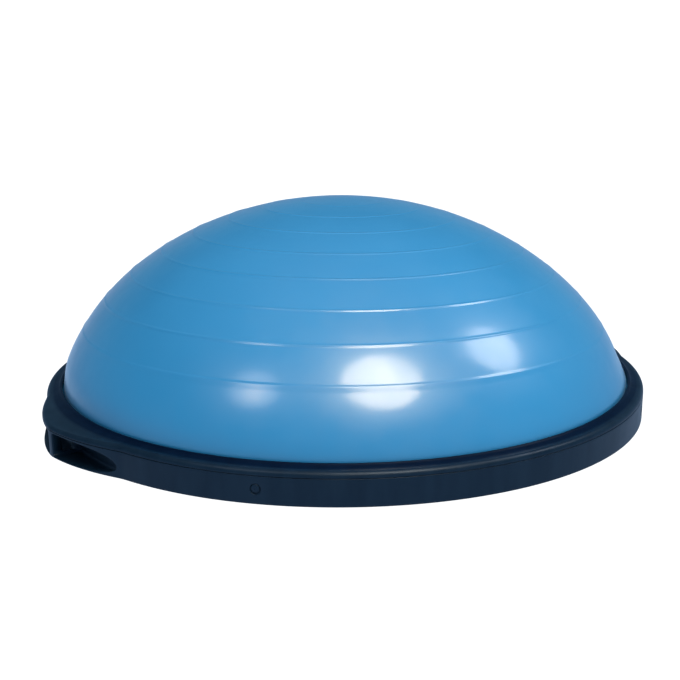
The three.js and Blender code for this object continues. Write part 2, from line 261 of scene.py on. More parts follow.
def add_range(tree, value, low, high, at_low, at_high):
    """A value that goes from at_low to at_high between two heights in millimetres."""
    node = tree.nodes.new("ShaderNodeMapRange")
    limits = {"From Min": low * MM, "From Max": high * MM, "To Min": at_low, "To Max": at_high}
    for name, number in limits.items():
        node.inputs[name].default_value = number
    tree.links.new(value, node.inputs["Value"])
    return node.outputs["Result"]


def dome_pvc():
    material, tree, shader = node_material("dome_pvc")
    tint = add_noise(tree, 5.0, detail=2.0)
    tree.links.new(
        add_ramp(tree, tint, (0.024, 0.224, 0.452), (0.028, 0.240, 0.478)), shader.inputs["Base Color"]
    )
    polish = add_noise(tree, 38.0, detail=5.0)
    tree.links.new(add_ramp(tree, polish, 0.33, 0.41), shader.inputs["Roughness"])
    tree.links.new(add_ramp(tree, polish, 0.11, 0.17), shader.inputs["Coat Roughness"])
    shader.inputs["Coat Weight"].default_value = 0.6
    shader.inputs["Sheen Weight"].default_value = 0.16
    shader.inputs["Sheen Roughness"].default_value = 0.25
    shader.inputs["Sheen Tint"].default_value = (0.80, 0.90, 1.0, 1.0)
    ripple = add_bump(tree, add_noise(tree, 16.0, detail=2.0), 0.18, 0.0016)
    grain = add_bump(tree, add_cells(tree, 900.0), 0.05, 0.0002, ripple)
    tree.links.new(grain, shader.inputs["Normal"])
    shader.inputs["IOR"].default_value = 1.5
    return material


def rim_plastic():
    """Navy plastic with painted shade: the base colour is darkened on the ring's raised inner part, which
    also reflects less.
    """
    material, tree, shader = node_material("rim_plastic")
    streaks = add_noise(tree, 60.0, detail=4.0, stretch=(1, 1, 0.18))
    tone = add_ramp(tree, streaks, (0.0026, 0.0118, 0.0245), (0.0044, 0.0158, 0.0310))
    coordinates = tree.nodes.new("ShaderNodeTexCoord")
    split = tree.nodes.new("ShaderNodeSeparateXYZ")
    tree.links.new(coordinates.outputs["Object"], split.inputs["Vector"])
    height = split.outputs["Z"]
    tree.links.new(add_range(tree, height, 35.9, 36.7, 0.26, 0.06), shader.inputs["Specular IOR Level"])
    # painted shade: darkens the base colour above the ring's shoulder, where little light falls from above
    painted_top_shade = tree.nodes.new("ShaderNodeCombineXYZ")
    for axis, share in (("X", 0.2), ("Y", 0.42), ("Z", 0.7)):
        tree.links.new(add_range(tree, height, 35.8, 36.9, 1.0, share), painted_top_shade.inputs[axis])
    shaded = tree.nodes.new("ShaderNodeVectorMath")
    shaded.operation = "MULTIPLY"
    tree.links.new(tone, shaded.inputs[0])
    tree.links.new(painted_top_shade.outputs["Vector"], shaded.inputs[1])
    tree.links.new(shaded.outputs["Vector"], shader.inputs["Base Color"])
    tree.links.new(add_ramp(tree, add_noise(tree, 50.0, detail=2.0), 0.36, 0.40), shader.inputs["Roughness"])
    grain = add_bump(tree, add_noise(tree, 900.0, detail=2.0), 0.06, 0.0002)
    sink = add_bump(tree, add_noise(tree, 45.0, detail=2.0, stretch=(1, 1, 0.3)), 0.2, 0.0006, grain)
    tree.links.new(sink, shader.inputs["Normal"])
    shader.inputs["Specular Tint"].default_value = (0.54, 0.71, 1.0, 1.0)
    return material


def deck_plastic():
    material, tree, shader = node_material("deck_plastic")
    tree.links.new(
        add_ramp(tree, add_noise(tree, 30.0), (0.014, 0.015, 0.017), (0.024, 0.025, 0.028)),
        shader.inputs["Base Color"],
    )
    tree.links.new(add_bump(tree, add_cells(tree, 700.0), 0.2, 0.0003), shader.inputs["Normal"])
    shader.inputs["Roughness"].default_value = 0.6
    return material


def pad_rubber():
    material, tree, shader = node_material("pad_rubber")
    tree.links.new(
        add_ramp(tree, add_noise(tree, 220.0, detail=5.0), (0.008, 0.008, 0.009), (0.020, 0.020, 0.021)),
        shader.inputs["Base Color"],
    )
    tree.links.new(add_ramp(tree, add_noise(tree, 400.0), 0.72, 0.9), shader.inputs["Roughness"])
    tree.links.new(add_bump(tree, add_noise(tree, 900.0, detail=4.0), 0.35, 0.0003), shader.inputs["Normal"])
    return material


def valve_pvc():
    material, tree, shader = node_material("valve_pvc")
    tree.links.new(
        add_ramp(tree, add_noise(tree, 160.0), (0.010, 0.105, 0.250), (0.014, 0.135, 0.300)),
        shader.inputs["Base Color"],
    )
    tree.links.new(add_ramp(tree, add_noise(tree, 300.0), 0.34, 0.46), shader.inputs["Roughness"])
    tree.links.new(add_bump(tree, add_noise(tree, 700.0), 0.15, 0.0002), shader.inputs["Normal"])
    return material


def plug_plastic():
    material, tree, shader = node_material("plug_plastic")
    tree.links.new(
        add_ramp(tree, add_noise(tree, 180.0, detail=4.0), (0.60, 0.62, 0.63), (0.72, 0.73, 0.74)),
        shader.inputs["Base Color"],
    )
    tree.links.new(add_ramp(tree, add_noise(tree, 420.0), 0.33, 0.45), shader.inputs["Roughness"])
    tree.links.new(add_bump(tree, add_noise(tree, 800.0), 0.12, 0.0002), shader.inputs["Normal"])
    return material


def zinc_steel():
    material, tree, shader = node_material("zinc_steel")
    tree.links.new(
        add_ramp(tree, add_noise(tree, 700.0, detail=4.0), (0.42, 0.43, 0.45), (0.60, 0.61, 0.62)),
        shader.inputs["Base Color"],
    )
    tree.links.new(add_ramp(tree, add_noise(tree, 1500.0), 0.26, 0.44), shader.inputs["Roughness"])
    tree.links.new(add_bump(tree, add_noise(tree, 2200.0), 0.2, 0.0001), shader.inputs["Normal"])
    shader.inputs["Metallic"].default_value = 1.0
    return material


MATERIALS = {
    make.__name__: make()
    for make in (dome_pvc, rim_plastic, deck_plastic, pad_rubber, valve_pvc, plug_plastic, zinc_steel)
}


# ------------------------------------------------------------------ outline of the rim
def ear_share(degrees):
    """1 at the tip of a grip ear, 0 away from the ears, with a soft start."""
    from_ear = abs((degrees + 90) % 180 - 90)
    raw = 1 - (from_ear / EAR_HALF_ANGLE) ** EAR_POWER
    return 0.5 * (raw + math.sqrt(raw * raw + EAR_EDGE_SOFTNESS**2))


def outline(degrees):
    return RIM_RADIUS + EAR_REACH * min(ear_share(degrees), 1.0)


SCOOP_SPANS = 44
RIVET_ZONE = 1.5


def rim_stations():
    """Angles of the rim's sections: close together at the ears and at the rivets."""
    stations = []
    for ear in (0, 180):
        stations += spread(ear - EAR_ZONE, ear, SCOOP_SPANS)[:-1]
        stations += spread(ear, ear + EAR_ZONE, SCOOP_SPANS)[:-1]
        edges = [ear + EAR_ZONE]
        for rivet in (ear + 45, ear + 135):
            edges += [rivet - RIVET_ZONE, rivet + RIVET_ZONE]
        edges.append(ear + 180 - EAR_ZONE)
        for i, (start, end) in enumerate(zip(edges, edges[1:])):
            step = 0.25 if i % 2 else 0.75
            stations += spread(start, end, round((end - start) / step))[:-1]
    return stations


STATIONS = rim_stations()


# ------------------------------------------------------------------ platform base
WALL_FOOT_RADIUS = 0.8 * MM
WALL_DRAFT = 0.8 * MM
WALL_LOW = UNDERSIDE_Z + WALL_FOOT_RADIUS
WALL_HIGH = 29.1 * MM
WALL_ROWS = 14
BASE_EDGE = 0.5 * MM
WALL_FOOT_REACH = 1.7 * MM
BORDER_INSET = WALL_DRAFT + WALL_FOOT_REACH
BORDER_COLLAR = 0.15 * MM
WALL_HEIGHTS = spread(WALL_LOW, WALL_HIGH, WALL_ROWS)
PATCH_WEIGHTS = (0.0, 0.18, 0.4, 0.68, 1.0)


def wall_inset(z):
    return WALL_DRAFT * (WALL_HIGH - z) / (WALL_HIGH - WALL_LOW)


def wall_point(degrees, z, depth=0.0):
    return polar(outline(degrees) - wall_inset(z) - depth, degrees, z)


def rectangle(us, vs):
    """Points round the border of a grid: bottom, right, top and left sides."""
    bottom = [(u, vs[0]) for u in us[:-1]]
    right = [(us[-1], v) for v in vs[:-1]]
    top = [(u, vs[-1]) for u in reversed(us[1:])]
    left = [(us[0], v) for v in reversed(vs[1:])]
    return bottom + right + top + left


def scoop_middle(away):
    return (SCOOP_FLOOR + SCOOP_CEILING) / 2 - SCOOP_DROOP * (away / SCOOP_END) ** 3


def scoop_half(away):
    share = min(away / SCOOP_END, 1.0)
    return (SCOOP_CEILING - SCOOP_FLOOR) / 2 * math.sqrt(max(1 - share**4, 0))


def scoop_outline(spans, rows):
    """The scoop's mouth as (degrees from the ear's tip, z), in step with rectangle()."""
    turn = 0.965 * SCOOP_END
    aways = [SCOOP_START + (turn - SCOOP_START) * i / spans for i in range(spans + 1)]
    tip_half = scoop_half(turn)
    bottom = [(a, scoop_middle(a) - scoop_half(a)) for a in aways[:-1]]
    top = [(a, scoop_middle(a) + scoop_half(a)) for a in reversed(aways[1:])]
    tip = []
    for i in range(rows):
        level = 2 * i / rows - 1
        away = SCOOP_END * (1 - (level * tip_half / scoop_half(0)) ** 2) ** 0.25
        tip.append((away, scoop_middle(away) + level * tip_half))
    half = scoop_half(SCOOP_START)
    post = [(SCOOP_START, scoop_middle(SCOOP_START) + half * (1 - 2 * i / rows)) for i in range(rows)]
    loop = bottom + tip + top + post
    for _ in range(3):
        loop = [
            tuple((loop[i - 1][k] + 2 * loop[i][k] + loop[(i + 1) % len(loop)][k]) / 4 for k in (0, 1))
            for i in range(len(loop))
        ]
    return loop


def inward_normals(loop, scale_u):
    """Unit vectors that point into a closed loop, in metres along and across the wall."""
    normals = []
    for i in range(len(loop)):
        before, after = loop[i - 1], loop[(i + 1) % len(loop)]
        along = Vector(((after[0] - before[0]) * scale_u, after[1] - before[1])).normalized()
        normals.append((-along.y, along.x))
    return normals


def scoop_depth(away):
    share = min(away / SCOOP_END, 1.0)
    return outline(away) - SCOOP_BACK_RADIUS - SCOOP_RISE * share**3 - WALL_DRAFT / 2


def add_scoop(skin, ear, side):
    """One finger scoop: the wall round its mouth, its rounded edge, its sides and its back."""
    aways = spread(0, EAR_ZONE, SCOOP_SPANS)
    border = rectangle(aways, WALL_HEIGHTS)
    mouth = scoop_outline(SCOOP_SPANS, WALL_ROWS)
    metres_per_degree = math.radians(RIM_RADIUS)
    normals = inward_normals(mouth, metres_per_degree)

    def point(away, z, depth=0.0):
        return wall_point(ear + side * away, z, depth)

    def moved(offset):
        return [
            (a + n[0] * offset / metres_per_degree, z + n[1] * offset) for (a, z), n in zip(mouth, normals)
        ]

    outside = moved(-SCOOP_EDGE_RADIUS)
    loops = [
        [point(lerp(o[0], b[0], w), lerp(o[1], b[1], w)) for o, b in zip(outside, border)]
        for w in reversed(PATCH_WEIGHTS)
    ]
    for angle in (22.5, 45, 67.5, 90):
        turn = math.radians(angle)
        ring = moved(SCOOP_EDGE_RADIUS * (math.sin(turn) - 1))
        loops.append([
            point(a, z, min(SCOOP_EDGE_RADIUS * (1 - math.cos(turn)), scoop_depth(a) * 0.4 * angle / 90))
            for a, z in ring
        ])
    tunnel_from = len(loops)
    for share in (0.35, 0.5, 0.65, 0.8):
        ring = moved(SCOOP_SIDE_DRAFT * share)
        loops.append([point(a, z, scoop_depth(a) * share) for a, z in ring])
    tunnel_to = len(loops) - 1
    for angle in (30, 60, 90):
        turn = math.radians(angle)
        ring = moved(SCOOP_SIDE_DRAFT + SCOOP_BACK_FILLET * (1 - math.cos(turn)))
        loops.append([point(a, z, scoop_depth(a) * (0.8 + 0.2 * math.sin(turn))) for a, z in ring])
    floor_ring = moved(SCOOP_SIDE_DRAFT + SCOOP_BACK_FILLET)
    centre = (SCOOP_START + SCOOP_END) / 2
    # Each point of the bottom edge shares its end of the back's middle seam with the point above it.
    across = 2 * SCOOP_SPANS + WALL_ROWS
    seam = [(a + floor_ring[(across - c) % len(floor_ring)][0]) / 2 for c, (a, _) in enumerate(floor_ring)]
    for share in (0.75, 0.5, 0.25, 0.0):
        row = []
        for (a, z), middle in zip(floor_ring, seam):
            away = centre + (lerp(middle, a, share) - centre) * (0.9 + 0.1 * share)
            row.append(point(away, lerp(scoop_middle(away), z, share), scoop_depth(away)))
        loops.append(row)

    # The side next to the post stays open, except for its corners: the tunnel begins there.
    post_first = across + 2
    post_last = post_first + WALL_ROWS - 4

    def in_tunnel(row, column):
        return tunnel_from <= row < tunnel_to and post_first <= column < post_last

    skin.strip(loops, closed_columns=True, skip=in_tunnel)
    mouth_of_tunnel = [loops[tunnel_from][c] for c in range(post_first, post_last)]
    mouth_of_tunnel += [loops[r][post_last] for r in range(tunnel_from, tunnel_to)]
    mouth_of_tunnel += [loops[tunnel_to][c] for c in range(post_last, post_first, -1)]
    mouth_of_tunnel += [loops[r][post_first] for r in range(tunnel_to, tunnel_from, -1)]
    return mouth_of_tunnel


def add_rivet_seat(skin, rivet):
    """A round dimple in the wall, a little lower than the rivet that sits in it."""
    us = spread(rivet - RIVET_ZONE, rivet + RIVET_ZONE, 12)
    vs = WALL_HEIGHTS[3:13]
    centre_z = RIVET_Z - 0.9 * MM
    border = rectangle(us, vs)
    per_degree = math.radians(RIM_RADIUS)
    middle = ((us[0] + us[-1]) / 2, (vs[0] + vs[-1]) / 2)
    half = ((us[-1] - us[0]) / 2, (vs[-1] - vs[0]) / 2)
    turns = [math.atan2((v - middle[1]) / half[1], (u - middle[0]) / half[0]) for u, v in border]

    def circle(radius, depth):
        return [
            wall_point(rivet + radius * math.cos(t) / per_degree, centre_z + radius * math.sin(t), depth)
            for t in turns
        ]

    loops = []
    rim = 5.9 * MM
    for w in reversed(PATCH_WEIGHTS):
        loops.append([
            wall_point(
                lerp(rivet + rim * math.cos(t) / per_degree, u, w), lerp(centre_z + rim * math.sin(t), v, w)
            )
            for (u, v), t in zip(border, turns)
        ])
    dimple = ((5.6, 0.08), (5.35, 0.3), (5.25, 0.7), (5.1, 1.2), (4.8, 1.5), (4.2, 1.6), (2.5, 1.6))
    loops += [circle(radius * MM, depth * MM) for radius, depth in dimple]
    skin.strip(loops, closed_columns=True)
    skin.fan(wall_point(rivet, centre_z, dimple[-1][1] * MM), loops[-1])


def add_round_seat(skin, x, y, radius, depth, floor_hole=None, segments=40):
    """A round recess in the flat underside; returns its outer loop for flat_fill()."""
    edge = 0.3 * MM
    section = [(radius + edge + BORDER_COLLAR, UNDERSIDE_Z)]
    section += arc((radius + edge, UNDERSIDE_Z + edge), edge, -90, -180, 3)
    section += [(radius, UNDERSIDE_Z + depth - edge), (radius - edge, UNDERSIDE_Z + depth)]
    if floor_hole:
        section += [(floor_hole, UNDERSIDE_Z + depth), (floor_hole, UNDERSIDE_Z + depth + SCREW_HOLE_DEPTH)]
    else:
        section.append((radius * 0.5, UNDERSIDE_Z + depth))
    angles = [360 * i / segments for i in range(segments)]
    rows = [[(x + r * math.cos(math.radians(a)), y + r * math.sin(math.radians(a)), z) for a in angles]
            for r, z in section]
    skin.strip(rows, closed_columns=True)
    skin.fan((x, y, section[-1][1]), rows[-1])
    return rows[0]


UNDERSIDE_INNER = 255 * MM
UNDERSIDE_SEGMENTS = 180


def underside_section():
    """The middle of the underside, with shallow moulded rings."""
    section = [(0.002, UNDERSIDE_Z)]
    for groove in (60, 120, 180, 240):
        middle = groove * MM
        side = ((2.6, 0), (2.0, 0), (1.5, 0.2), (0.9, 0.8))
        section += [(middle - offset * MM, UNDERSIDE_Z + depth * MM) for offset, depth in side]
        section += [(middle + offset * MM, UNDERSIDE_Z + depth * MM) for offset, depth in reversed(side)]
    section += [(UNDERSIDE_INNER - 0.6 * MM, UNDERSIDE_Z), (UNDERSIDE_INNER, UNDERSIDE_Z)]
    return section


def pad_angles():
    return [22.5 + 45 * i for i in range(8)]


def screw_angles():
    return [side + 27 + 21 * i for side in (0, 180) for i in range(7)]


def make_base():
    skin = Skin()
    step = 360 / UNDERSIDE_SEGMENTS
    angles = [step * i for i in range(UNDERSIDE_SEGMENTS)]
    rows = [[polar(r, a, z) for a in angles] for r, z in underside_section()]
    skin.strip(rows, closed_columns=True)
    skin.fan((0, 0, UNDERSIDE_Z), rows[0])

    border = [polar(outline(a) - BORDER_INSET - BORDER_COLLAR, a, UNDERSIDE_Z) for a in STATIONS]
    loops = [border, rows[-1]]
    for angle in pad_angles():
        x, y, _ = polar(PAD_CIRCLE, angle, 0)
        loops.append(add_round_seat(skin, x, y, PAD_SEAT_RADIUS, PAD_SEAT_DEPTH, segments=56))
    for angle in screw_angles():
        x, y, _ = polar(SCREW_CIRCLE, angle, 0)
        seat = add_round_seat(skin, x, y, SCREW_SEAT_RADIUS, SCREW_SEAT_DEPTH, SCREW_HOLE_RADIUS, segments=28)
        loops.append(seat)
    skin.flat_fill(loops)

    foot_centre = (BORDER_INSET, UNDERSIDE_Z + WALL_FOOT_RADIUS)
    foot = [(BORDER_INSET + BORDER_COLLAR, UNDERSIDE_Z)]
    foot += [
        (foot_centre[0] - WALL_FOOT_REACH * math.sin(math.radians(a)),
         foot_centre[1] - WALL_FOOT_RADIUS * math.cos(math.radians(a)))
        for a in (0, 15, 30, 45, 60, 75, 90)
    ]
    skin.strip([[polar(outline(a) - d, a, z) for a in STATIONS] for d, z in foot], closed_columns=True)

    holes = [(rivet - RIVET_ZONE, rivet + RIVET_ZONE, 3, 12) for rivet in RIVET_ANGLES]
    holes += [(ear - EAR_ZONE, ear + EAR_ZONE, 0, WALL_ROWS) for ear in (0, 180, 360)]

    def patched(row, column):
        start = STATIONS[column]
        middle = start + 0.01
        return any(low <= middle <= high and first <= row < last for low, high, first, last in holes)

    wall = [[wall_point(a, z) for a in STATIONS] for z in WALL_HEIGHTS]
    skin.strip(wall, closed_columns=True, skip=patched)

    top = arc((BASE_EDGE, WALL_HIGH), BASE_EDGE, 180, 90, 4)
    rows = [[polar(outline(a) - d, a, z) for a in STATIONS] for d, z in top]
    inside = [(313.9, 29.6), (313.7, 29.4), (313.6, 28.1), (304.8, 28.0)]
    inside += [(304.5, 27.8), (304.5, 24.4), (150, 24.2)]
    rows += [[polar(radius * MM, a, z * MM) for a in STATIONS] for radius, z in inside]
    skin.strip(rows, closed_columns=True)
    skin.fan((0, 0, rows[-1][0][2]), rows[-1])

    for rivet in RIVET_ANGLES:
        add_rivet_seat(skin, rivet)
    for ear in (0, 180):
        mouths = [add_scoop(skin, ear, side) for side in (1, -1)]
        across = [[Vector(a).lerp(Vector(b), w)[:] for a, b in zip(*mouths)] for w in spread(0, 1, 6)]
        skin.strip(across, closed_columns=True)
    return skin.finish("base_shell", MATERIALS["rim_plastic"])


# ------------------------------------------------------------------ retaining ring
def ring_section(degrees):
    share = min(ear_share(degrees), 1.0)
    edge = outline(degrees)
    foot_z = RING_LOW.z + 0.1 * MM
    shoulder_z = lerp(RING_SHOULDER_Z, EAR_SHOULDER_Z, share)
    points = [(313.5, 33.5), (309.6, 33.5), (309.0, 33.7), (308.6, 34.2), (308.2, 36.5), (307.9, 37.8)]
    points = [(r * MM, z * MM) for r, z in points]
    points += arc((308.9 * MM, 38.7 * MM), 1.0 * MM, 180, 90, 5)
    points += arc((310.1 * MM, 38.9 * MM), 1.1 * MM, 100, 35, 5)
    start = Vector((312.2 * MM, 38.4 * MM))
    end = Vector((edge - RING_SHOULDER_WIDTH, shoulder_z))
    for step in spread(0, 1, 8)[:-1]:
        sag = RING_TOP_SAG * math.sin(math.pi * step)
        points.append((lerp(start.x, end.x, step), lerp(start.y, end.y, step) - sag))
    drop = shoulder_z - foot_z - 0.5 * MM
    for angle in spread(0, 90, 12):
        turn = math.radians(angle)
        out = RING_SHOULDER_WIDTH * math.sin(turn)
        points.append((end.x + out, shoulder_z - drop * (1 - math.cos(turn))))
    chamfer = ((0.06, 0.22), (0.25, 0.06), (0.6, 0))
    points += [(edge - inset * MM, foot_z + rise * MM) for inset, rise in chamfer]
    points += [(r * MM, z) for r, z in ((314.2, foot_z), (313.8, foot_z + 0.3 * MM), (313.7, 33.0 * MM))]
    return points


def make_ring():
    skin = Skin()
    sections = [[polar(r, a, z) for r, z in ring_section(a)] for a in STATIONS]
    skin.strip(sections, closed_rows=True, closed_columns=True)
    return skin.finish("rim_ring", MATERIALS["rim_plastic"])


# ------------------------------------------------------------------ inflated dome
def dome_profile():
    """The dome's outline from the crown to the neck: (arc length, radius, z, normal) in small steps."""
    steps = 600
    corners = [(0.0, CROWN_Z), CROWN_HANDLE, SHOULDER_HANDLE, NECK]
    points = []
    for i in range(steps + 1):
        t = i / steps
        weights = ((1 - t) ** 3, 3 * (1 - t) ** 2 * t, 3 * (1 - t) * t * t, t**3)
        points.append(Vector([sum(w * c[k] for w, c in zip(weights, corners)) for k in (0, 1)]))
    rows = []
    length = 0.0
    for i, p in enumerate(points):
        if i:
            length += (p - points[i - 1]).length
        along = (points[min(i + 1, steps)] - points[max(i - 1, 0)]).normalized()
        rows.append((length, p.x, p.y, Vector((-along.y, along.x))))
    return rows


PROFILE = dome_profile()
DOME_LENGTH = PROFILE[-1][0]


def on_profile(length):
    """Radius, z and outward normal at an arc length from the crown."""
    low, high = 0, len(PROFILE) - 1
    while high - low > 1:
        middle = (low + high) // 2
        if PROFILE[middle][0] < length:
            low = middle
        else:
            high = middle
    a, b = PROFILE[low], PROFILE[high]
    share = (length - a[0]) / (b[0] - a[0])
    normal = a[3].lerp(b[3], share).normalized()
    return lerp(a[1], b[1], share), lerp(a[2], b[2], share), normal


def rib_height(length, degrees):
    """Height of the moulded rings, which fade out towards +X and at the crown."""
    fade = 0.62 + 0.38 * math.cos(math.radians(degrees - RIB_FULL_AT))
    total = 0.0
    for arc_mm, share in zip(RIB_ARCS, RIB_SHARES):
        total += share * math.exp(-(((length - arc_mm * MM) / RIB_WIDTH) ** 2))
    return RIB_HEIGHT * fade * total


def lean_at(point):
    """How far the soft dome leans to one side, which fades out round the valve."""
    z = point.z / MM
    knots = zip(LEAN_BY_HEIGHT, LEAN_BY_HEIGHT[1:])
    lean = next((lerp(a[1], b[1], max(z - a[0], 0) / (b[0] - a[0])) for a, b in knots if z <= b[0]), 0.0)
    if z > LEAN_BY_HEIGHT[-1][0]:
        lean = LEAN_BY_HEIGHT[-1][1]
    from_valve = (point - VALVE.translation).length / MM
    clear = min(max((from_valve - 16) / 70, 0), 1)
    return lean * clear * clear * (3 - 2 * clear) * MM


def dome_point(degrees, length):
    """A point of the dome, whose ribs are centred a little off the middle of the crown."""
    angle = math.radians(degrees)
    share = length / DOME_LENGTH
    spot = Vector((math.cos(angle), math.sin(angle))) * length + RIB_POLE * (1 - share**6)
    radius, z, normal = on_profile(min(spot.length, DOME_LENGTH))
    out = Vector((spot.x, spot.y, 0)).normalized()
    swell = rib_height(length, degrees)
    point = out * (radius + normal.x * swell) + Vector((0, 0, z + normal.y * swell))
    wave = noise.noise(point * 11) * min((DOME_LENGTH - length) / 0.03, 1)
    return point + LEAN_DIRECTION * lean_at(point) + Vector((0, 0, 1)) * (wave * 0.3 * MM)


DOME_STATIONS = [0.75 * i for i in range(480)]
VALVE_ZONE = 3.75
VALVE_PATCH = 18.5 * MM


def valve_length():
    return next(row[0] for row in PROFILE if row[2] <= VALVE_Z)


def dome_lengths():
    """Arc lengths of the dome's rows: close together on the ribs and round the valve."""
    lengths = {round(4 + 6 * i, 3) for i in range(int(DOME_LENGTH / MM / 6) + 1)}
    lengths = {s for s in lengths if s < DOME_LENGTH / MM - 2}
    for rib in RIB_ARCS:
        lengths = {s for s in lengths if abs(s - rib) > 3.4}
        lengths |= {round(rib + 0.6 * step, 3) for step in range(-5, 6)}
    valve = round(valve_length() / MM, 3)
    lengths = {s for s in lengths if abs(s - valve) > 19}
    lengths |= {round(valve + offset, 3) for offset in range(-18, 19, 3)}
    return [s * MM for s in sorted(lengths)] + [DOME_LENGTH]


def valve_frame():
    """Where the valve sits on the dome, and the matrix that puts local +Z along its axis."""
    joint = next(j for j in frame["joints"] if j["name"] == "valve_pull")
    axis = Vector(joint["axis"]).normalized()
    radius, z, _ = on_profile(valve_length())
    return Matrix.Translation((0, radius, z)) @ axis.to_track_quat("Z", "Y").to_matrix().to_4x4()


VALVE = valve_frame()


def make_dome():
    skin = Skin()
    lengths = dome_lengths()
    valve = valve_length()
    first = next(i for i, s in enumerate(lengths) if s > valve - VALVE_PATCH)
    last = max(i for i, s in enumerate(lengths) if s < valve + VALVE_PATCH)

    def patched(row, column):
        return first <= row < last and abs(DOME_STATIONS[column] + 0.01 - 90) < VALVE_ZONE

    rows = [[dome_point(a, s) for a in DOME_STATIONS] for s in lengths]
    skin.strip(rows, closed_columns=True, skip=patched)
    skin.fan(dome_point(0, 0.0), rows[0])

    flange = FLANGE_RADIUS / MM
    under = [(306.5, 38), (306.5, 33.2), (306.8, 32.95), (flange - 0.4, 32.9)]
    under += [(flange, 32.5), (flange, 29), (flange - 0.4, 28.6), (150, 28.6)]
    foot = [rows[-1]] + [[polar(r * MM, a, z * MM) for a in DOME_STATIONS] for r, z in under]
    skin.strip(foot, closed_columns=True)
    skin.fan((0, 0, foot[-1][0][2]), foot[-1])

    us = [a for a in DOME_STATIONS if abs(a - 90) < VALVE_ZONE + 0.01]
    vs = lengths[first:last + 1]
    border = rectangle(us, vs)
    half = (VALVE_ZONE, (vs[-1] - vs[0]) / 2)
    turns = [math.atan2((v - valve) / half[1], (u - 90) / half[0]) for u, v in border]
    radius = on_profile(valve)[0]
    per_degree = math.radians(radius)

    def hole(size, depth):
        return [VALVE @ Vector((-size * math.cos(t), -size * math.sin(t), depth)) for t in turns]

    rim = 10.4 * MM
    loops = [
        [dome_point(lerp(90 + rim * math.cos(t) / per_degree, u, w), lerp(valve + rim * math.sin(t), v, w))
         for (u, v), t in zip(border, turns)]
        for w in reversed(PATCH_WEIGHTS)
    ]
    pit = ((9.9, -0.3), (9.8, -0.7), (9.75, -1.6), (7.2, -1.75), (6.9, -2.0), (6.85, -9.0), (3.0, -11.5))
    loops += [hole(size * MM, depth * MM) for size, depth in pit]
    skin.strip(loops, closed_columns=True)
    skin.fan(VALVE @ Vector((0, 0, -11.6 * MM)), loops[-1])
    return skin.finish("dome_skin", MATERIALS["dome_pvc"])


# ------------------------------------------------------------------ valve
def at_valve(point):
    return VALVE @ Vector(point)


def make_valve_insert():
    """The socket that is bonded into the dome, with a lipped bore."""
    skin = Skin()
    section = [(4.0, -8.8), (4.0, -0.6)] + arc((4.5, -0.1), 0.5, 180, 90, 3)
    section += [(5.4, 0.45), (5.8, 0.2), (6.4, 0.2), (6.9, 0.45), (8.7, 0.45)]
    section += arc((8.9, -0.1), 0.55, 90, 0, 4)
    section += [(9.45, -1.2), (9.2, -1.45), (6.7, -1.5), (6.6, -1.7), (6.6, -8.6), (6.3, -8.9), (4.2, -8.9)]
    revolve(skin, [(r * MM, z * MM) for r, z in section + section[:1]], 72, at_valve)
    return skin.finish("valve_insert", MATERIALS["valve_pvc"])


def make_plug():
    """The plug: a domed head with a finger lip, on a ribbed stem."""
    skin = Skin()
    section = [(0.0, -10.2), (2.4, -10.2)]
    for rib in (-8.6, -6.6, -4.6):
        section += [(3.0, rib - 0.9), (3.6, rib), (3.6, rib + 0.3), (3.0, rib + 0.6)]
    section += [(3.0, -2.6), (3.5, -1.6), (3.6, 0.6), (3.9, 0.85), (7.4, 0.85)]
    section += arc((7.3, 1.5), 0.7, -90, 60, 6)
    section += [(6.6, 2.55), (5.9, 2.85), (5.1, 2.9), (4.7, 2.6)]
    section += [(4.4, 2.2), (3.6, 2.15), (1.6, 2.25), (0.0, 2.3)]
    revolve(skin, [(r * MM, z * MM) for r, z in section], 64, at_valve)
    return skin.finish("plug_body", MATERIALS["plug_plastic"], merge=1e-6)


def make_plug_tab():
    """The raised bar across the plug's head that fingers pull on."""
    skin = Skin()
    length, width, low, high = 3.7 * MM, 0.75 * MM, 2.0 * MM, 3.7 * MM
    rows = []
    for share in spread(-1, 1, 16):
        bulge = math.sqrt(max(1 - share**4, 0.0004))
        half = width * bulge
        top = lerp(low, high, bulge)
        ring = [(half, low), (half, lerp(low, top, 0.7)), (half * 0.7, lerp(low, top, 0.93)), (0, top),
                (-half * 0.7, lerp(low, top, 0.93)), (-half, lerp(low, top, 0.7)), (-half, low)]
        rows.append([at_valve((share * length, y, z)) for y, z in ring])
    skin.strip(rows, closed_columns=True)
    for row in (rows[0], rows[-1]):
        skin.fan(sum((Vector(p) for p in row), Vector()) / len(row), row)
    return skin.finish("plug_tab", MATERIALS["plug_plastic"])


# ------------------------------------------------------------------ rivets, screws and pads
def radial_place(angle, z):
    turn = Matrix.Rotation(math.radians(angle), 4, "Z")
    return turn @ Matrix.Translation((0, 0, z)) @ Matrix.Rotation(math.radians(90), 4, "Y")


def make_rivet(number, angle):
    skin = Skin()
    place = radial_place(angle, RIVET_Z)
    wall = RIM_RADIUS / MM - 0.4
    section = [(0.0, wall - 7.4), (1.4, wall - 7.4), (2.2, wall - 5.8), (2.2, wall - 1.1)]
    section += [(3.7, wall - 1.1)] + arc((3.6, wall - 0.6), 0.5, -60, 60, 5)
    section += [(3.1, wall + 0.25), (2.0, wall + 0.5), (1.2, wall + 0.56)]
    section += [(0.9, wall + 0.4), (0.0, wall + 0.35)]
    revolve(skin, [(r * MM, h * MM) for r, h in section], 40, lambda p: place @ Vector(p))
    return skin.finish(f"rivet_{number}", MATERIALS["rim_plastic"], merge=1e-6)


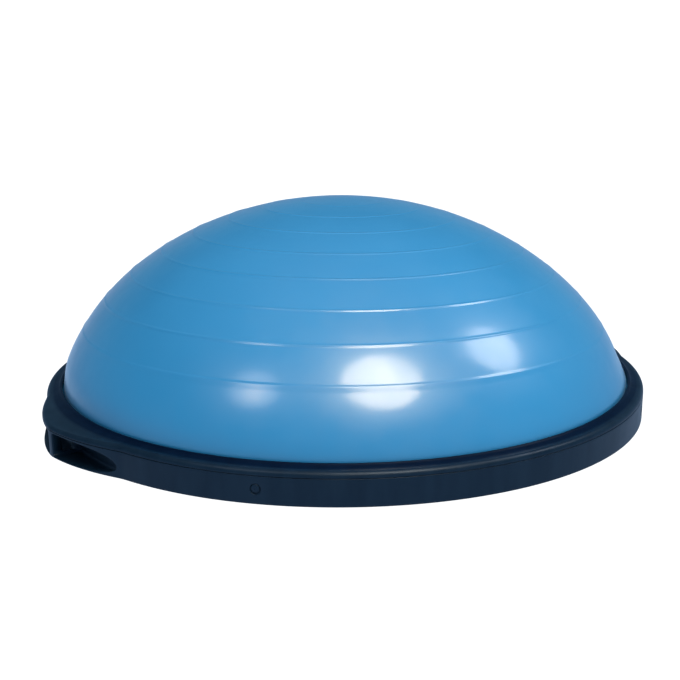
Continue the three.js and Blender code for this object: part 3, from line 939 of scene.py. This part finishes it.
def screw_mesh(head_bottom, tip, head_radius, shank_radius, name):
    """A cross-recessed pan-head screw that points up, with thread crests on its shank."""
    skin = Skin()
    head_top = head_bottom + 2.0
    pole = 0.0005
    section = [(pole, head_bottom), (head_radius * 0.6, head_bottom), (head_radius * 0.84, head_bottom + 0.2)]
    section += [(head_radius * 0.97, head_bottom + 0.6), (head_radius, head_bottom + 1.1)]
    section += [(head_radius, head_top - 0.2), (head_radius - 0.2, head_top), (shank_radius * 0.8, head_top)]
    height = head_top + 0.6
    root = shank_radius * 0.72
    while height < tip - 2:
        section += [(root, height), (shank_radius, height + 0.5), (root, height + 1.0)]
        height += 1.4
    section += [(shank_radius * 0.5, tip - 1), (pole, tip)]
    revolve(skin, [(r * MM, z * MM) for r, z in section], 32)
    piece = skin.finish(name, MATERIALS["zinc_steel"], merge=1e-6)
    cutter_mesh = bpy.data.meshes.new("cross")
    cross = bmesh.new()
    for turn in (0, 90):
        size = Matrix.Diagonal((head_radius * 1.15 * MM, 0.75 * MM, 2.6 * MM, 1))
        place = Matrix.Translation((0, 0, head_bottom * MM)) @ Matrix.Rotation(math.radians(turn), 4, "Z")
        bmesh.ops.create_cube(cross, size=1, matrix=place @ size)
    cross.to_mesh(cutter_mesh)
    cross.free()
    cutter = bpy.data.objects.new("cross", cutter_mesh)
    bpy.context.scene.collection.objects.link(cutter)
    cut = piece.modifiers.new("cross", "BOOLEAN")
    cut.operation = "DIFFERENCE"
    cut.solver = "EXACT"
    cut.use_self = True
    cut.object = cutter
    graph = bpy.context.evaluated_depsgraph_get()
    made = bpy.data.meshes.new_from_object(piece.evaluated_get(graph))
    bpy.data.objects.remove(piece)
    bpy.data.objects.remove(cutter)
    made.set_sharp_from_angle(angle=math.radians(35))
    return made


def place_copy(mesh, name, matrix):
    copy = mesh.copy()
    copy.transform(matrix)
    piece = bpy.data.objects.new(name, copy)
    bpy.context.scene.collection.objects.link(piece)
    return piece


def make_pad(number, angle):
    """A rubber pad with grip rings on the face that meets the floor."""
    skin = Skin()
    top = UNDERSIDE_Z / MM + 1.1
    section = [(0.0, 0.45), (2.2, 0.45), (2.6, 0.0), (4.2, 0.0), (4.6, 0.45)]
    for ring in (6.2, 9.8, 13.4):
        section += [(ring - 1.0, 0.45), (ring - 0.6, 0.0), (ring + 1.1, 0.0), (ring + 1.5, 0.45)]
    section += arc((15.2, 0.9), 0.7, -90, 0, 4) + [(15.95, top - 0.2), (15.7, top), (0.0, top)]
    x, y, _ = polar(PAD_CIRCLE, angle, 0)
    revolve(skin, [(r * MM, z * MM) for r, z in section], 56, lambda p: (p[0] + x, p[1] + y, p[2]))
    return skin.finish(f"pad_{number}", MATERIALS["pad_rubber"], merge=1e-6)


# ------------------------------------------------------------------ stage
FRONT_AZIMUTH = -30.0
FRONT_ELEVATION = 13.89
CAMERA_ROLL = -0.53
CAMERA_DISTANCE = 1.8
AIM = Vector((0, 0, 0.111))
IMAGE_SIZE = 680
FOCAL_PIXELS = 1643.81
SENSOR = 36.0
CAMERA_SHIFT = (-0.00641, -0.04735)
GLINT_COLOUR = (1.0, 0.64, 0.25)
RECEIVERS = {name: bpy.data.collections.new(name + "_light") for name in ("floor", "object")}
FLOOR_TONE = 0.52
FLOOR_BRIGHTNESS = 1.1
FLOOR_REACH = 15.0
BACKDROP_START = 14.7
BACKDROP_END = 70.0
BACKDROP_SLOPE = 0.42
WORLD_BANDS = (
    (-0.25, (0.37, 0.53, 0.78)),
    (-0.05, (0.18, 0.28, 0.46)),
    (0.22, (0.12, 0.24, 0.36)),
    (0.45, (0.04, 0.07, 0.11)),
    (0.90, (0.16, 0.17, 0.20)),
)


def direction(azimuth, elevation):
    """Unit vector from the object, with azimuth 0 towards -Y and 90 towards +X."""
    a, e = math.radians(azimuth), math.radians(elevation)
    return Vector((math.sin(a) * math.cos(e), -math.cos(a) * math.cos(e), math.sin(e)))


def facing(towards, distance):
    """The place at a distance from the object whose local -Z looks at it."""
    turn = towards.to_track_quat("Z", "Y").to_matrix().to_4x4()
    return Matrix.Translation(AIM + towards * distance) @ turn


def make_camera():
    data = bpy.data.cameras.new("camera")
    data.sensor_width = SENSOR
    data.lens = FOCAL_PIXELS / IMAGE_SIZE * SENSOR
    data.shift_x, data.shift_y = CAMERA_SHIFT
    data.clip_end = 100
    camera = bpy.data.objects.new("camera", data)
    towards = direction(FRONT_AZIMUTH, FRONT_ELEVATION)
    spin = Matrix.Rotation(math.radians(CAMERA_ROLL), 4, "Z")
    camera.matrix_world = facing(towards, CAMERA_DISTANCE) @ spin
    bpy.context.scene.collection.objects.link(camera)
    bpy.context.scene.camera = camera


def soft_box(name, azimuth, elevation, distance, width, height, radiance, spin=0.0, glint=0.0, mirrored=True):
    """An oval soft light that faces the object. Its power follows from the brightness of its face,
    and the glint is the extra brightness that only reflections show."""
    towards = direction(azimuth, elevation)
    for part, brightness, gap in (("", radiance, 0.0), ("_glint", glint, 0.01)):
        if not brightness:
            continue
        data = bpy.data.lights.new(name + part, "AREA")
        data.shape = "ELLIPSE"
        data.size = width
        data.size_y = height
        data.energy = brightness * math.pi * width * height * math.pi / 4
        data.color = GLINT_COLOUR if part else (1, 1, 1)
        lamp = bpy.data.objects.new(name + part, data)
        lamp.matrix_world = facing(towards, distance - gap) @ Matrix.Rotation(math.radians(spin), 4, "Z")
        lamp.visible_diffuse = not part
        lamp.visible_glossy = mirrored or bool(part)
        bpy.context.scene.collection.objects.link(lamp)
        lamp.light_linking.receiver_collection = RECEIVERS["object"]


def floor_wash():
    """A lamp that lights only the floor and backdrop, evenly and without shadows, so that they stay white."""
    data = bpy.data.lights.new("floor_wash", "SUN")
    data.energy = math.pi * FLOOR_BRIGHTNESS / FLOOR_TONE
    lamp = bpy.data.objects.new("floor_wash", data)
    bpy.context.scene.collection.objects.link(lamp)
    lamp.light_linking.receiver_collection = RECEIVERS["floor"]
    lamp.light_linking.blocker_collection = RECEIVERS["floor"]


def floor_paint():
    material, tree, shader = node_material("floor_paint")
    shade = add_ramp(tree, add_noise(tree, 3.0), (FLOOR_TONE - 0.01,) * 3, (FLOOR_TONE + 0.01,) * 3)
    tree.links.new(shade, shader.inputs["Base Color"])
    shader.inputs["Roughness"].default_value = 0.9
    return material


def stage_piece(name, rows, material, closed_columns=False):
    skin = Skin()
    skin.strip(rows, closed_columns=closed_columns)
    mesh = bpy.data.meshes.new(name)
    mesh.from_pydata(skin.points, [], skin.faces)
    mesh.materials.append(material)
    piece = bpy.data.objects.new(name, mesh)
    bpy.context.scene.collection.objects.link(piece)
    piece.visible_glossy = False
    RECEIVERS["floor"].objects.link(piece)
    RECEIVERS["object"].objects.link(piece)
    RECEIVERS["object"].collection_objects[-1].light_linking.link_state = "EXCLUDE"
    return piece


def make_floor():
    """A flat floor, and far away a shallow bowl that rises through it behind the object on all sides."""
    paint = floor_paint()
    marks = spread(-FLOOR_REACH, FLOOR_REACH, 10)
    stage_piece("floor", [[(x, y, 0.0) for x in marks] for y in marks], paint)
    reaches = spread(BACKDROP_START - 0.1, BACKDROP_END, 12)
    rings = [[polar(r, 6 * i, (r - BACKDROP_START) * BACKDROP_SLOPE) for i in range(60)] for r in reaches]
    backdrop = stage_piece("backdrop", rings, paint, closed_columns=True)
    backdrop.visible_diffuse = False


def make_world():
    """Ambient light: a pale studio floor below the horizon, dark walls, and a bright ceiling."""
    world = bpy.data.worlds.new("studio")
    world.use_nodes = True
    tree = world.node_tree
    coordinates = tree.nodes.new("ShaderNodeTexCoord")
    split = tree.nodes.new("ShaderNodeSeparateXYZ")
    tree.links.new(coordinates.outputs["Generated"], split.inputs["Vector"])
    height = tree.nodes.new("ShaderNodeMapRange")
    height.inputs["From Min"].default_value = -1.0
    tree.links.new(split.outputs["Z"], height.inputs["Value"])
    ramp = tree.nodes.new("ShaderNodeValToRGB")
    while len(ramp.color_ramp.elements) < len(WORLD_BANDS):
        ramp.color_ramp.elements.new(0.5)
    for element, (position, colour) in zip(ramp.color_ramp.elements, WORLD_BANDS):
        element.position = (position + 1) / 2
        element.color = colour + (1,)
    tree.links.new(height.outputs["Result"], ramp.inputs["Fac"])
    tree.links.new(ramp.outputs["Color"], tree.nodes["Background"].inputs["Color"])
    bpy.context.scene.world = world


def make_stage():
    make_camera()
    make_floor()
    floor_wash()
    make_world()
    # name, azimuth, elevation, distance, width, height, brightness
    soft_box("key", -9.2, 49.8, 2.18, 1.02, 1.14, 7.8, spin=-13, glint=10.8)
    soft_box("side_key", 57.5, 43.5, 2.31, 0.80, 0.76, 8.9, spin=-55, glint=1.7)
    soft_box("left_fill", -72, 42, 2.37, 0.72, 0.78, 4.6, spin=24)
    soft_box("left_spot", -71, 40.5, 2.3, 0.28, 0.36, 2.0, spin=24, glint=6.0)
    soft_box("wide_fill", -10, 55, 2.6, 3.0, 2.2, 1.0, glint=0.15, mirrored=False)
    soft_box("top_fill", 150, 80, 2.6, 2.6, 2.6, 1.7, mirrored=False)
    bpy.context.scene.view_settings.view_transform = "Standard"


# ------------------------------------------------------------------ assembly
def squash_with_dome(piece):
    """Gives the piece its own copy of its mesh."""
    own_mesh(piece)


def assemble():
    base = make_base()
    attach(base, "platform")
    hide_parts("platform_base")

    ring = make_ring()
    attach(ring, "platform")
    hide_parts("retaining_ring")

    dome = make_dome()
    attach(dome, "dome")
    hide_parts("dome_bladder")
    squash_with_dome(dome)

    insert = make_valve_insert()
    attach(insert, "dome")
    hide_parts("valve_socket")
    squash_with_dome(insert)

    for piece in (make_plug(), make_plug_tab()):
        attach(piece, "plug")
        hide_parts("valve_plug")
        squash_with_dome(piece)

    for number, angle in enumerate(RIVET_ANGLES, 1):
        rivet = make_rivet(number, angle)
        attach(rivet, "platform")
        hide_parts(f"rim_rivet_{number}")

    for number, angle in enumerate(pad_angles(), 1):
        pad = make_pad(number, angle)
        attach(pad, "platform")
        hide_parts(f"foot_pad_{number}")

    ring_screw = screw_mesh(1.9, 34.8, head_radius=3.8, shank_radius=1.6, name="ring_screw_shape")
    for number, angle in enumerate(screw_angles(), 1):
        turn = Matrix.Rotation(math.radians(17 * number), 4, "Z")
        place = Matrix.Translation(polar(SCREW_CIRCLE, angle, 0)) @ turn
        screw = place_copy(ring_screw, f"rim_screw_{number}", place)
        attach(screw, "platform")
        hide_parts(f"ring_screw_{number}")

    for name, node in frame["nodes"].items():
        if name == "platform_deck":
            node.data.materials.clear()
            node.data.materials.append(MATERIALS["deck_plastic"])
        if name.startswith("deck_screw_"):
            node.data.materials.clear()
            node.data.materials.append(MATERIALS["zinc_steel"])


make_stage()
assemble()
